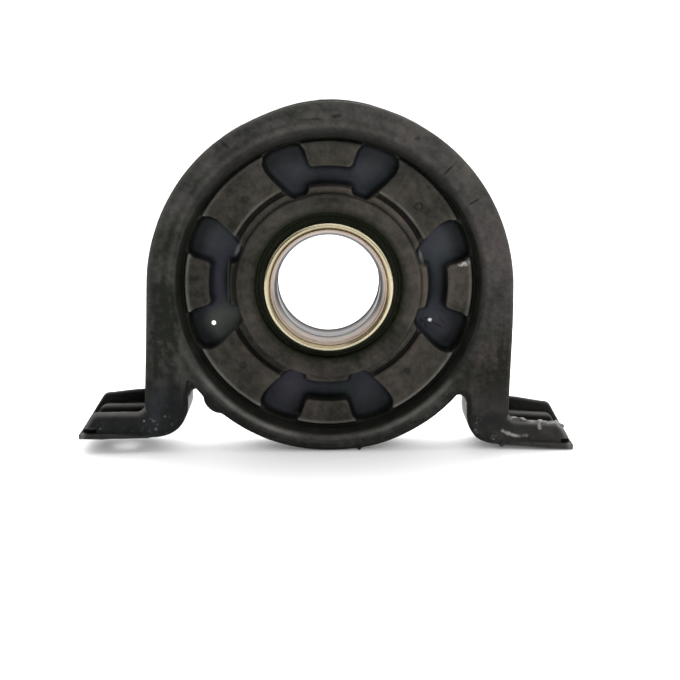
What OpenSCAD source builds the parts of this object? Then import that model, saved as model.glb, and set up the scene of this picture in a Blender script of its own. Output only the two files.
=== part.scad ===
// Driveshaft centre bearing: a ball bearing held in a moulded rubber cushion,
// inside an arched channel bracket with two bolt-down feet.
// The shaft axis is Y, up is +Z, and the origin is the middle of the shaft bore.
// Every piece is drawn facing +Z with up along +Y, then turned to face -Y.

/* [Bearing] */
// Diameter of the shaft bore
bore_d = 60; // [59:0.5:61]
// Length of the straight part of the shaft bore
bore_len = 19; // [18:0.5:20]
// Diameter of the circle through the ball centres
pitch_d = 78; // [77.8:0.1:78.2]
// Diameter of one ball
ball_d = 11; // [10.8:0.1:11]
// Outside diameter of the bearing's outer ring
outer_ring_d = 95; // [94:0.5:96]
// Width of the bearing's outer ring
outer_ring_w = 18; // [17.6:0.2:18.2]
// Outside diameter of the zinc-plated flinger rings
flinger_d = 75.6; // [74:0.2:76]
// How far the crown of a flinger stands from the middle of the bore
flinger_crown = 17; // [16.6:0.1:17.4]

/* [Rubber cushion] */
// Outside diameter of the rubber hub that holds the bearing
hub_d = 108; // [106:0.5:109]
// Inside diameter of the hub's lip in front of the bearing
lip_d = 85; // [85:0.5:88]
// How far the hub's face stands from the middle of the bore
hub_face = 15.5; // [15:0.1:16]
// Outside diameter of the rubber ring
ring_d = 200; // [199:0.5:201]
// Thickness of the thin floor of the pockets
floor_t = 3; // [2:0.5:4]
// Depth of the pads' face behind the front of the arch
pad_depth = 5; // [4.6:0.2:6]
// Diameter of the vent hole through one pocket floor
vent_d = 2.6; // [2:0.1:3]

/* [Bracket] */
// Thickness of the bracket's sheet steel
sheet = 4; // [3.5:0.25:4.5]
// Depth of the channel, front to back
channel_depth = 34; // [32:0.5:36]
// Outside width of the arch over its flanges
arch_w = 213.6; // [212:0.2:215]
// Height of the shaft axis above the underside of the feet
axis_height = 95; // [94:0.5:96]
// Overall width over both feet
foot_span = 294.6; // [290:0.2:298]
// Height of the front flange along the feet
front_flange_h = 16.4; // [15:0.2:18]
// Height of the back flange along the feet
back_flange_h = 21; // [18:0.2:22]
// Distance between the two bolt holes
bolt_spacing = 246; // [240:1:250]
// Diameter of the bolt holes
bolt_hole_d = 14; // [12:0.5:15]

/* [Hidden] */
$fn = 96;

bore_r = bore_d / 2;
ball_n = 12;
ball_r = ball_d / 2;
pitch_r = pitch_d / 2;
race_r = ball_r + 0.22;              // radius of the ball track's section
in_shoulder = pitch_r - 3.5;         // outside radius of the inner ring's shoulders
out_shoulder = pitch_r + 3.5;        // inside radius of the outer ring's shoulders
sleeve_r = 34;                       // inner ring's extensions, under the flingers
sleeve_end = 16;                     // end of the inner ring's extensions

ring_r = ring_d / 2;
hub_r = hub_d / 2;
lip_r = lip_d / 2;
ledge_r = 58.5;                      // step round the foot of the hub
ledge_z = 9.3;
pad_in = 61;                         // pads, inner and outer radius
pad_out = 85;
rim_in = 87.5;                       // inner wall of the ring
arch_r = arch_w / 2;
skin = 2;                            // rubber skin over the front flange
front_z = 13.6;                      // front of the arch, with its skin
steel_f = front_z - skin;            // front and back of the steel channel
steel_b = steel_f - channel_depth;
mid_z = (front_z + steel_b) / 2;
pad_f = front_z - pad_depth;         // pad faces, front and back
pad_b = steel_b + 8.6;
groove = 3.5;                        // depth of the grooves beside the pads
ring_back = steel_b + 2;

leg_in = 82.6;                       // inner face of the legs
leg_flare = 2.1;                     // how much further out each leg's edge is at the foot
bend_r = 20.5;                       // outside radius of the bend into the foot
foot_in = leg_in + bend_r;
corner_r = 5;                        // rounded corner between leg and foot
notch_r = 9.8;                       // rounded top of the notch between ring and leg
notch_x = leg_in - notch_r;
notch_y = -sqrt(pow(ring_r + notch_r, 2) - pow(notch_x, 2));
notch_t = ring_r / (ring_r + notch_r);
foot_end = foot_span / 2;
foot_z = -axis_height;
chan_mid = (steel_f + steel_b) / 2;

// ---- outline of one pocket, given as [angle from its middle, radius] ----
half_pocket = [[13, 59.2], [14.2, 56.4], [16, 55.3], [23.5, 55.3], [26, 57], [27.3, 60], [28.8, 66],
               [29.7, 71], [30.2, 76], [30, 81], [28.8, 86.2], [25.5, 87], [16, 87], [12.9, 86.2],
               [11.9, 81], [11, 75], [10.6, 71.6], [9.4, 70]];
pocket_loop = concat(half_pocket, [for (i = [len(half_pocket) - 1:-1:0]) [-half_pocket[i][0], half_pocket[i][1]]]);
function polar(p) = [p[1] * sin(p[0]), p[1] * cos(p[0])];
function steps(a, b) = max(1, ceil(abs(a[0] - b[0]) / 4));
pocket_points = [for (i = [0:len(pocket_loop) - 1])
    let (a = pocket_loop[i], b = pocket_loop[(i + 1) % len(pocket_loop)], n = steps(a, b))
    for (k = [0:n - 1]) polar(a + (b - a) * k / n)];

module face_front() { rotate([90, 0, 0]) children(); }

module tube(ro, ri, z0, z1) {
    difference() {
        translate([0, 0, z0]) cylinder(r = ro, h = z1 - z0);
        translate([0, 0, z0 - 1]) cylinder(r = ri, h = z1 - z0 + 2);
    }
}

// ---- bracket ----
// Strip between the inner path and the outside of the flanges, seen from the front
module flange_outline(shrink, flange_h) {
    o = arch_r - shrink;
    leg_o = o + leg_flare * (axis_height - flange_h) / axis_height;
    difference() {
        union() {
            intersection() {
                circle(r = o);
                translate([-o - 1, 0]) square([2 * o + 2, o + 1]);
            }
            polygon([[-o, 0], [o, 0], [o + leg_flare, foot_z], [-o - leg_flare, foot_z]]);
            for (s = [-1, 1]) polygon([[s * 60, foot_z], [s * (foot_end - 0.8), foot_z], [s * (foot_end - 0.8), foot_z + 5.5],
                [s * (foot_end - 8.6), foot_z + flange_h - shrink], [s * 60, foot_z + flange_h - shrink]]);
            // rounded corner between each leg and its foot
            for (s = [-1, 1]) difference() {
                translate([s > 0 ? leg_o - 1 : -leg_o - corner_r, foot_z + flange_h - shrink - 1]) square(corner_r + 1);
                translate([s * (leg_o + corner_r), foot_z + flange_h - shrink + corner_r]) circle(r = corner_r);
            }
        }
        circle(r = ring_r);
        translate([-leg_in, foot_z - 10]) square([2 * leg_in, axis_height - 44]);
        for (s = [-1, 1]) difference() {
            translate([s * (leg_in + bend_r / 2) - bend_r / 2 - 0.5, foot_z - 1]) square([bend_r + 0.5 + (s < 0 ? 0.5 : 0), bend_r + 1]);
            translate([s * foot_in, foot_z + bend_r]) circle(r = bend_r);
        }
    }
}

module web_outline() {
    intersection() {
        flange_outline(0, back_flange_h);
        union() {
            difference() {
                circle(r = ring_r + sheet);
                translate([-200, -400 + foot_z + 25]) square([400, 400]);
            }
            for (s = [-1, 1]) {
                translate([s > 0 ? leg_in : -leg_in - sheet, foot_z + bend_r]) square([sheet, 40]);
                intersection() {
                    difference() {
                        translate([s * foot_in, foot_z + bend_r]) circle(r = bend_r);
                        translate([s * foot_in, foot_z + bend_r]) circle(r = bend_r - sheet);
                    }
                    translate([s > 0 ? leg_in : -foot_in, foot_z]) square([bend_r, bend_r]);
                }
                translate([s > 0 ? foot_in : -foot_end, foot_z]) square([foot_end - foot_in, sheet]);
            }
        }
    }
}

module bracket() {
    color([0.09, 0.085, 0.08]) face_front() difference() {
        union() {
            translate([0, 0, steel_f - sheet]) linear_extrude(sheet) flange_outline(0, front_flange_h);
            translate([0, 0, steel_b]) linear_extrude(sheet) flange_outline(0, back_flange_h);
            translate([0, 0, steel_b]) linear_extrude(channel_depth) web_outline();
            // bottom plate of each foot, standing a little proud of the flanges
            for (s = [-1, 1])
                translate([s > 0 ? foot_in + 2 : -foot_end, foot_z, steel_b])
                    cube([foot_end - foot_in - 2, 3.4, channel_depth + 1.4]);
        }
        for (s = [-1, 1])
            translate([s * bolt_spacing / 2, foot_z + 20, chan_mid]) rotate([90, 0, 0]) cylinder(d = bolt_hole_d, h = 40);
    }
}

// ---- rubber cushion ----
module cushion_section() {
    polygon([[lip_r, hub_face - 3.1], [lip_r + 5, hub_face], [hub_r - 1.8, hub_face], [hub_r, hub_face - 1.8],
             [hub_r, ledge_z], [ledge_r - 0.8, ledge_z], [ledge_r, ledge_z - 0.8], [ledge_r, pad_f - groove],
             [pad_in, pad_f - groove], [pad_in, pad_f - 0.9], [pad_in + 0.9, pad_f], [pad_out - 0.9, pad_f],
             [pad_out, pad_f - 0.9], [pad_out, pad_f - groove], [rim_in, pad_f - groove], [rim_in, front_z - 3],
             [rim_in + 2.4, front_z], [rim_in + 4.5, front_z], [ring_r - 1.5, front_z - 3.6], [ring_r, front_z - 5.2],
             [ring_r, ring_back + 3], [ring_r - 3, ring_back], [rim_in + 2.4, ring_back], [rim_in, ring_back + 2.4],
             [rim_in, pad_b + groove], [pad_out, pad_b + groove], [pad_out, pad_b], [pad_in, pad_b],
             [pad_in, pad_b + groove], [ledge_r, pad_b + groove], [ledge_r, -12], [hub_r, -12], [hub_r, 1.8 - hub_face],
             [hub_r - 1.8, -hub_face], [lip_r + 1.3, -hub_face], [lip_r, 1.3 - hub_face],
             [lip_r, -outer_ring_w / 2], [outer_ring_d / 2, -outer_ring_w / 2],
             [outer_ring_d / 2, outer_ring_w / 2], [lip_r, outer_ring_w / 2]]);
}

module pocket(z0, z1) {
    translate([0, 0, z0]) linear_extrude(z1 - z0) polygon(pocket_points);
}

// Rubber between the ring and each leg, with the rounded top of the notch
module gusset(s) {
    translate([0, 0, ring_back + 1]) linear_extrude(front_z - ring_back - 1) difference() {
        polygon([[s * notch_x * notch_t * 0.93, notch_y * notch_t * 0.93], [s * notch_x, notch_y], [s * leg_in, notch_y],
                 [s * leg_in, -50], [s * (leg_in - 8), -50]]);
        translate([s * notch_x, notch_y]) circle(r = notch_r - 0.5);
    }
}

module rubber_cushion() {
    color([0.15, 0.13, 0.115]) face_front() difference() {
        union() {
            rotate_extrude() cushion_section();
            translate([0, 0, steel_f]) linear_extrude(skin) {
                intersection() {
                    flange_outline(0.5, front_flange_h);
                    translate([-200, -76.5]) square([400, 300]);
                }
                // flat face of the ring where the arch covers it
                intersection() {
                    difference() {
                        circle(r = ring_r + 0.5);
                        circle(r = rim_in + 2.4);
                    }
                    translate([-200, -66]) square([400, 300]);
                }
            }
            for (s = [-1, 1]) gusset(s);
        }
        for (a = [0:90:270]) rotate([0, 0, a]) {
            pocket(mid_z + floor_t / 2, front_z + 10);
            pocket(steel_b - 10, mid_z - floor_t / 2);
        }
        translate([-68.3, -26.5, mid_z - 5]) cylinder(d = vent_d, h = 10);
    }
}

// ---- bearing ----
module bearing_outer_ring() {
    color([0.6, 0.6, 0.6]) face_front() rotate_extrude() difference() {
        translate([out_shoulder, -outer_ring_w / 2]) square([outer_ring_d / 2 - out_shoulder, outer_ring_w]);
        translate([pitch_r, 0]) circle(r = race_r);
        // seats of the two seals
        translate([out_shoulder - 1, 7.3]) square([1.6, 1.4]);
        translate([out_shoulder - 1, -8.7]) square([1.6, 1.4]);
    }
}

module bearing_inner_ring() {
    color([0.72, 0.69, 0.66]) face_front() rotate_extrude() difference() {
        polygon([[bore_r, -bore_len / 2], [33.2, -sleeve_end], [sleeve_r, -sleeve_end], [sleeve_r, -9.3], [in_shoulder, -9.3],
                 [in_shoulder, 9.3], [sleeve_r, 9.3], [sleeve_r, sleeve_end], [33.2, sleeve_end], [bore_r, bore_len / 2]]);
        translate([pitch_r, 0]) circle(r = race_r);
    }
}

module seal_ring() {
    color([0.09, 0.1, 0.05]) face_front() rotate_extrude()
        polygon([[in_shoulder + 0.4, 7.8], [in_shoulder + 1, 7.3], [out_shoulder + 0.6, 7.3], [out_shoulder + 0.6, 8.7],
                 [in_shoulder + 1.6, 8.7], [in_shoulder + 0.4, 8.3]]);
}
module front_seal() { seal_ring(); }
module rear_seal() { rotate([180, 0, 0]) seal_ring(); }

// Rolled ring pressed on the inner ring's extension
module flinger() {
    fo = flinger_d / 2;
    cr = 1.75;                       // radius of the rolled crown
    color([0.75, 0.66, 0.42]) face_front() rotate_extrude()
        polygon(concat([[sleeve_r, 9.4], [sleeve_r + 1.2, 9.4], [sleeve_r + 1.2, 11.4], [fo, 12.2]],
            [for (a = [0:15:180]) [fo - cr + cr * cos(a), flinger_crown - cr + cr * sin(a)]],
            [[sleeve_r, flinger_crown - cr - 0.2]]));
}
module front_flinger() { flinger(); }
module rear_flinger() { rotate([180, 0, 0]) flinger(); }

// Pressed cage: two halves of sheet with cups over the balls, riveted between them
function ball_angle(i) = 15 + i * 360 / ball_n;
module at_ball(i) { rotate([0, 0, ball_angle(i)]) translate([pitch_r, 0, 0]) children(); }

module cage_half() {
    color([0.62, 0.58, 0.5]) face_front() difference() {
        intersection() {
            tube(pitch_r + 2.2, pitch_r - 2.2, 0, 8);
            union() {
                tube(pitch_r + 3, pitch_r - 3, 0, 0.9);
                for (i = [0:ball_n - 1]) at_ball(i) sphere(r = ball_r + 1.1);
            }
        }
        for (i = [0:ball_n - 1]) {
            at_ball(i) sphere(r = ball_r + 0.3);
            rotate([0, 0, ball_angle(i) + 180 / ball_n]) translate([pitch_r, 0, -1]) cylinder(r = 0.85, h = 4, $fn = 24);
        }
    }
}
module cage_front_half() { cage_half(); }
module cage_rear_half() { rotate([180, 0, 0]) cage_half(); }

module cage_rivets() {
    color([0.7, 0.68, 0.64]) face_front() for (i = [0:ball_n - 1])
        rotate([0, 0, ball_angle(i) + 180 / ball_n]) translate([pitch_r, 0, 0]) rotate_extrude($fn = 24)
            polygon([[0, -1.6], [1.1, -1.6], [1.5, -1.3], [1.5, -0.9], [0.8, -0.9], [0.8, 0.9], [1.5, 0.9], [1.5, 1.3], [1.1, 1.6], [0, 1.6]]);
}

module ball(i) { color([0.8, 0.8, 0.82]) face_front() at_ball(i - 1) sphere(r = ball_r); }
module ball_01() { ball(1); }
module ball_02() { ball(2); }
module ball_03() { ball(3); }
module ball_04() { ball(4); }
module ball_05() { ball(5); }
module ball_06() { ball(6); }
module ball_07() { ball(7); }
module ball_08() { ball(8); }
module ball_09() { ball(9); }
module ball_10() { ball(10); }
module ball_11() { ball(11); }
module ball_12() { ball(12); }

bracket();
rubber_cushion();
bearing_outer_ring();
front_seal();
rear_seal();
bearing_inner_ring();
front_flinger();
rear_flinger();
cage_front_half();
cage_rear_half();
cage_rivets();
ball_01();
ball_02();
ball_03();
ball_04();
ball_05();
ball_06();
ball_07();
ball_08();
ball_09();
ball_10();
ball_11();
ball_12();
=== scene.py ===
import math

import bpy
import numpy as np
from mathutils import Matrix


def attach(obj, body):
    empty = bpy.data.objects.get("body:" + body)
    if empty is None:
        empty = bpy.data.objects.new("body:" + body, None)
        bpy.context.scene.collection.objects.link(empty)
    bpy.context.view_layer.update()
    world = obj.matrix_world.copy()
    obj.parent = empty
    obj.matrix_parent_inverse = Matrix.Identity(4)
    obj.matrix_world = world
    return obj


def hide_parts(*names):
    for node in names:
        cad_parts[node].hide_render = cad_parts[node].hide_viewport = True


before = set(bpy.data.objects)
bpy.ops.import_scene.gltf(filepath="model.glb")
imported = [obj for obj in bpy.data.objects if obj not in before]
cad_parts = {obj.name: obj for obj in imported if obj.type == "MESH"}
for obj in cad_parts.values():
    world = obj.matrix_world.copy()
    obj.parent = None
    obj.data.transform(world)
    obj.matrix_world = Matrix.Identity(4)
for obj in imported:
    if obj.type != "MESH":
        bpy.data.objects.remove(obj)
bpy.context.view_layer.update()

# ------------------------------------------------------------------ small tools


def smax(a, b, k):
    h = np.clip(0.5 + 0.5 * (a - b) / k, 0.0, 1.0)
    return b + (a - b) * h + k * h * (1.0 - h)


def smin(a, b, k):
    return -smax(-a, -b, k)


def round_union(a, b, r):
    return np.maximum(r, np.minimum(a, b)) - np.hypot(np.maximum(r - a, 0), np.maximum(r - b, 0))


def round_cut(a, b, r):
    """Common part of a and b, with a corner of radius r."""
    return np.minimum(-r, np.maximum(a, b)) + np.hypot(np.maximum(r + a, 0), np.maximum(r + b, 0))


def ramp(lo, hi, v):
    t = np.clip((v - lo) / (hi - lo), 0.0, 1.0)
    return t * t * (3 - 2 * t)


def poly_sdf(px, py, pts):
    """Signed distance to a closed outline, negative inside."""
    best = np.full(px.shape, 1e9)
    inside = np.zeros(px.shape, bool)
    n = len(pts)
    for i in range(n):
        ax, ay = pts[i]
        bx, by = pts[(i + 1) % n]
        ex, ey = bx - ax, by - ay
        ll = ex * ex + ey * ey
        if ll < 1e-12:
            continue
        t = np.clip(((px - ax) * ex + (py - ay) * ey) / ll, 0, 1)
        best = np.minimum(best, (px - ax - t * ex) ** 2 + (py - ay - t * ey) ** 2)
        if ey != 0:
            cross = (ay > py) != (by > py)
            inside ^= cross & (px < ax + (py - ay) * ex / ey)
    d = np.sqrt(best)
    return np.where(inside, -d, d)


def blur(a, sigma, axis):
    n = int(math.ceil(3 * sigma))
    k = np.exp(-0.5 * (np.arange(-n, n + 1) / sigma) ** 2)
    k /= k.sum()
    pad = [(0, 0)] * a.ndim
    pad[axis] = (n, n)
    b = np.pad(a, pad, mode="edge")
    out = np.zeros_like(a)
    for i, kv in enumerate(k):
        sl = [slice(None)] * a.ndim
        sl[axis] = slice(i, i + a.shape[axis])
        out += kv * b[tuple(sl)]
    return out


def line_distance(px, py, pts):
    """Distance to an open line of points."""
    best = np.full(px.shape, 1e9)
    for (ax, ay), (bx, by) in zip(pts[:-1], pts[1:]):
        ex, ey = bx - ax, by - ay
        t = np.clip(((px - ax) * ex + (py - ay) * ey) / (ex * ex + ey * ey), 0, 1)
        best = np.minimum(best, np.hypot(px - ax - t * ex, py - ay - t * ey))
    return best


def value_noise(x, y, cell, seed):
    rs = np.random.RandomState(seed)
    t = rs.uniform(-1, 1, (256, 256))
    u, v = x / cell + 100.0, y / cell + 100.0
    i, j = np.floor(u).astype(int), np.floor(v).astype(int)
    fu, fv = u - i, v - j
    fu, fv = fu * fu * (3 - 2 * fu), fv * fv * (3 - 2 * fv)
    g = lambda a, b: t[a % 256, b % 256]
    return (g(i, j) * (1 - fu) + g(i + 1, j) * fu) * (1 - fv) + (g(i, j + 1) * (1 - fu) + g(i + 1, j + 1) * fu) * fv


def surface_nets(f, xs, zs, ws):
    """Quad mesh of the surface f = 0, as vertices in (x, z, w) and faces that look outwards."""
    h = float(xs[1] - xs[0])
    inside = f < 0
    nx, nz, nw = f.shape
    count = np.zeros((nx - 1, nz - 1, nw - 1), np.uint8)
    corners = [(a, b, c) for a in (0, 1) for b in (0, 1) for c in (0, 1)]
    for a, b, c in corners:
        count += inside[a:nx - 1 + a, b:nz - 1 + b, c:nw - 1 + c]
    ii, jj, kk = np.nonzero((count > 0) & (count < 8))
    index = np.full(count.shape, -1, np.int32)
    index[ii, jj, kk] = np.arange(len(ii))
    vals = {c: f[ii + c[0], jj + c[1], kk + c[2]].astype(float) for c in corners}
    total = np.zeros((len(ii), 3))
    hits = np.zeros(len(ii))
    for axis in range(3):
        for c in corners:
            if c[axis]:
                continue
            d = tuple(1 if n == axis else c[n] for n in range(3))
            v0, v1 = vals[c], vals[d]
            cross = (v0 < 0) != (v1 < 0)
            t = np.where(cross, v0 / np.where(cross, v0 - v1, 1.0), 0.0)
            for n in range(3):
                total[:, n] += cross * (c[n] + (t if n == axis else 0.0))
            hits += cross
    p = total / hits[:, None]
    verts = np.stack([xs[0] + (ii + p[:, 0]) * h, zs[0] + (jj + p[:, 1]) * h, ws[0] + (kk + p[:, 2]) * h], 1)
    quads = []
    a, b = inside[:-1, 1:-1, 1:-1], inside[1:, 1:-1, 1:-1]
    i, j, k = np.nonzero(a != b)
    j, k = j + 1, k + 1
    q = np.stack([index[i, j - 1, k - 1], index[i, j, k - 1], index[i, j, k], index[i, j - 1, k]], 1)
    quads.append(np.where(inside[i, j, k][:, None], q, q[:, ::-1]))
    a, b = inside[1:-1, :-1, 1:-1], inside[1:-1, 1:, 1:-1]
    i, j, k = np.nonzero(a != b)
    i, k = i + 1, k + 1
    q = np.stack([index[i - 1, j, k - 1], index[i - 1, j, k], index[i, j, k], index[i, j, k - 1]], 1)
    quads.append(np.where(inside[i, j, k][:, None], q, q[:, ::-1]))
    a, b = inside[1:-1, 1:-1, :-1], inside[1:-1, 1:-1, 1:]
    i, j, k = np.nonzero(a != b)
    i, j = i + 1, j + 1
    q = np.stack([index[i - 1, j - 1, k], index[i, j - 1, k], index[i, j, k], index[i - 1, j, k]], 1)
    quads.append(np.where(inside[i, j, k][:, None], q, q[:, ::-1]))
    return verts, np.concatenate(quads)


def sample(f, xs, zs, ws, p):
    """Trilinear value of the grid f at points p = (x, z, w)."""
    h = float(xs[1] - xs[0])
    u = (p[:, 0] - xs[0]) / h
    v = (p[:, 1] - zs[0]) / h
    t = (p[:, 2] - ws[0]) / h
    i = np.clip(np.floor(u).astype(int), 0, f.shape[0] - 2)
    j = np.clip(np.floor(v).astype(int), 0, f.shape[1] - 2)
    k = np.clip(np.floor(t).astype(int), 0, f.shape[2] - 2)
    u, v, t = u - i, v - j, t - k
    out = 0.0
    for a in (0, 1):
        for b in (0, 1):
            for c in (0, 1):
                out = out + f[i + a, j + b, k + c] * (u if a else 1 - u) * (v if b else 1 - v) * (t if c else 1 - t)
    return out


def new_object(name, verts, faces):
    """verts in (x, z, w) millimetres, faces as an n x 4 or n x 3 array."""
    co = np.stack([verts[:, 0], -verts[:, 2], verts[:, 1]], 1) / 1000.0
    faces = np.asarray(faces)
    n, m = faces.shape
    mesh = bpy.data.meshes.new(name)
    mesh.vertices.add(len(co))
    mesh.vertices.foreach_set("co", co.astype(np.float32).ravel())
    mesh.loops.add(n * m)
    mesh.loops.foreach_set("vertex_index", faces.astype(np.int32).ravel())
    mesh.polygons.add(n)
    mesh.polygons.foreach_set("loop_start", np.arange(0, n * m, m, dtype=np.int32))
    mesh.polygons.foreach_set("loop_total", np.full(n, m, np.int32))
    mesh.update(calc_edges=True)
    mesh.validate()
    mesh.shade_smooth()
    ob = bpy.data.objects.new(name, mesh)
    bpy.context.scene.collection.objects.link(ob)
    return ob


def lighten(ob, triangles):
    """Fewer triangles where the surface is plain."""
    now = sum(len(p.vertices) - 2 for p in ob.data.polygons)
    if now <= triangles:
        return
    mod = ob.modifiers.new("lighten", "DECIMATE")
    mod.ratio = triangles / now
    dg = bpy.context.evaluated_depsgraph_get()
    mesh = bpy.data.meshes.new_from_object(ob.evaluated_get(dg))
    ob.modifiers.clear()
    old = ob.data
    mesh.name = ob.name
    ob.data = mesh
    bpy.data.meshes.remove(old)
    mesh.shade_smooth()


def points(ob):
    co = np.zeros(len(ob.data.vertices) * 3, np.float32)
    ob.data.vertices.foreach_get("co", co)
    co = co.reshape(-1, 3).astype(float) * 1000.0
    return np.stack([co[:, 0], co[:, 2], -co[:, 1]], 1)


def mark(ob, name, values):
    a = ob.data.attributes.new(name, "FLOAT", "POINT")
    a.data.foreach_set("value", np.clip(values, 0, 1).astype(np.float32))


def shade_from(ob, f, xs, zs, ws):
    """Normals from the slope of the grid, so a light mesh still shades smoothly."""
    p = points(ob)
    e = 0.35 * float(xs[1] - xs[0])
    g = []
    for n in range(3):
        d = np.zeros(3)
        d[n] = e
        g.append(sample(f, xs, zs, ws, p + d) - sample(f, xs, zs, ws, p - d))
    g = np.stack(g, 1)
    g /= np.maximum(np.linalg.norm(g, axis=1), 1e-9)[:, None]
    ob.data.normals_split_custom_set_from_vertices(np.stack([g[:, 0], -g[:, 2], g[:, 1]], 1).astype(np.float32).tolist())


def lathe(name, profile, n=224):
    """Ring turned from a closed (radius, w) profile, listed so that the face looks outwards."""
    m = len(profile)
    ang = np.linspace(0, 2 * math.pi, n, endpoint=False)
    pr = np.asarray(profile, float)
    verts = np.stack([np.outer(np.cos(ang), pr[:, 0]).ravel(), np.outer(np.sin(ang), pr[:, 0]).ravel(),
                      np.tile(pr[:, 1], n)], 1)
    area = 0.5 * sum(pr[i][0] * pr[(i + 1) % m][1] - pr[(i + 1) % m][0] * pr[i][1] for i in range(m))
    a = np.arange(n)[:, None] * m
    b = ((np.arange(n) + 1) % n)[:, None] * m
    i = np.arange(m)[None, :]
    j = (i + 1) % m
    q = np.stack([a + i, a + j, b + j, b + i], 2).reshape(-1, 4)
    if area > 0:
        q = q[:, ::-1]
    return new_object(name, verts, q)


def rounded(profile, r, steps=5):
    """The same profile with its corners rounded by about r (a single number or one per corner)."""
    out = []
    n = len(profile)
    rs = r if isinstance(r, (list, tuple)) else [r] * n
    for i in range(n):
        p0, p1, p2 = (np.array(profile[(i + s) % n], float) for s in (-1, 0, 1))
        a, b = p0 - p1, p2 - p1
        la, lb = np.linalg.norm(a), np.linalg.norm(b)
        t = min(rs[i], 0.45 * la, 0.45 * lb)
        if t < 1e-6:
            out.append(tuple(p1))
            continue
        s, e = p1 + a / la * t, p1 + b / lb * t
        for k in range(steps + 1):
            u = k / steps
            out.append(tuple((1 - u) ** 2 * s + 2 * u * (1 - u) * p1 + u * u * e))
    return out


# ------------------------------------------------------------------ main sizes
RING_R, ARCH_R, RIM_IN = 100.0, 106.8, 87.5
LEG_IN, BEND_R, FOOT_Z, FOOT_END = 82.6, 20.5, -95.0, 147.3
SIDE, FLARE, NOTCH_R = 0.6, 2.1, 10.6   # the pressing sits a little to one side of the bearing
LEG_IN_R, BEND_R_R = 83.5, 18.8         # the right leg is bent a little tighter than the left
FRONT, STEEL_F, STEEL_B, SHEET = 13.6, 11.6, -22.4, 4.0
PAD_F, PAD_B, RING_BACK = 8.6, -13.8, -20.4
FLOOR_F, FLOOR_B = -2.9, -5.9
POCKET = [(12.2, 59.2), (13, 56.4), (14.6, 54.6), (22.6, 54.4), (24.6, 57), (25.9, 60.4), (28, 66.4), (29.2, 71), (29.9, 76),
          (29.6, 80), (28, 83.6), (25, 85.3), (16, 85.5), (12.6, 84.4), (11.1, 80.4), (10.6, 75), (10.2, 71.6), (9, 70)]
POCKET_TURN = math.radians(0.4)


def pocket_outline():
    loop = POCKET + [(-a, r) for a, r in reversed(POCKET)]
    out = []
    for i in range(len(loop)):
        a, b = loop[i], loop[(i + 1) % len(loop)]
        n = max(1, int(math.ceil(abs(a[0] - b[0]) / 3)))
        for k in range(n):
            t = math.radians(a[0] + (b[0] - a[0]) * k / n)
            r = a[1] + (b[1] - a[1]) * k / n
            out.append((r * math.sin(t), r * math.cos(t)))
    return out


def pocket_distance(x, z):
    pts = pocket_outline()
    best = np.full(np.broadcast(x, z).shape, 1e9)
    ct, st = math.cos(POCKET_TURN), math.sin(POCKET_TURN)
    x, z = ct * x + st * z, -st * x + ct * z
    for quarter in range(4):
        c, s = (1, 0, -1, 0)[quarter], (0, 1, 0, -1)[quarter]
        best = np.minimum(best, poly_sdf(c * x + s * z, -s * x + c * z, pts))
    return best


# ------------------------------------------------------------------ rubber cushion
SECTION = [(42.4, 9), (42.4, 12.4), (47.6, 15.1), (48.6, 15.5), (52.5, 15.5), (54, 14), (54, 9.3), (57.0, 9.3), (58.1, 8.7), (58.5, 7.6),
           (58.5, PAD_F - 4.0), (61, PAD_F - 4.0), (61, PAD_F - 1.0), (62, PAD_F), (82.2, PAD_F), (84.4, PAD_F - 1.3), (84.6, PAD_F - 3.5),
           (86.6, PAD_F - 4.0), (88.3, 10.6),
           (88.9, 12.4), (90.3, 13.4), (92, 13.2), (98.3, 11.2), (99.6, 10.4), (100, 9.2), (100, -18), (98, -20.4),
           (89.9, -20.4), (87.5, -18), (87.5, -10.3), (85, -10.3), (85, -13.1), (84.3, -13.8), (61.7, -13.8),
           (61, -13.1), (61, -10.3), (58.5, -10.3), (58.5, -12), (54, -12), (54, -13.9), (52.4, -15.5), (45, -15.5),
           (42.4, -13.2), (42.4, -9), (47.5, -9), (47.5, 9)]


def rim_drop(ang):
    """How far the opening's edge comes in over the top, where the skin rolls over it."""
    return 2.3 * ramp(25, 65, ang) * ramp(165, 120, ang)


def arch_bulge(x, z):
    """The outline is not quite round: fuller over the crown and along the right leg, flatter left of the crown."""
    ang = np.degrees(np.arctan2(z, x))
    return 0.9 * np.exp(-((ang - 90) / 13) ** 2) - 0.7 * np.exp(-((ang - 114) / 10) ** 2) + \
        0.35 * ramp(-40, 0, ang) * ramp(75, 55, ang) + 1.0 * np.exp(-((z + 16) / 38) ** 2) * ramp(70, 95, x) + \
        0.4 * np.exp(-(z / 26) ** 2) * ramp(-70, -95, x)


def blob(p, x, z, sx, sz):
    return np.exp(-((p[:, 0] - x) / sx) ** 2 - ((p[:, 1] - z) / sz) ** 2)


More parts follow.
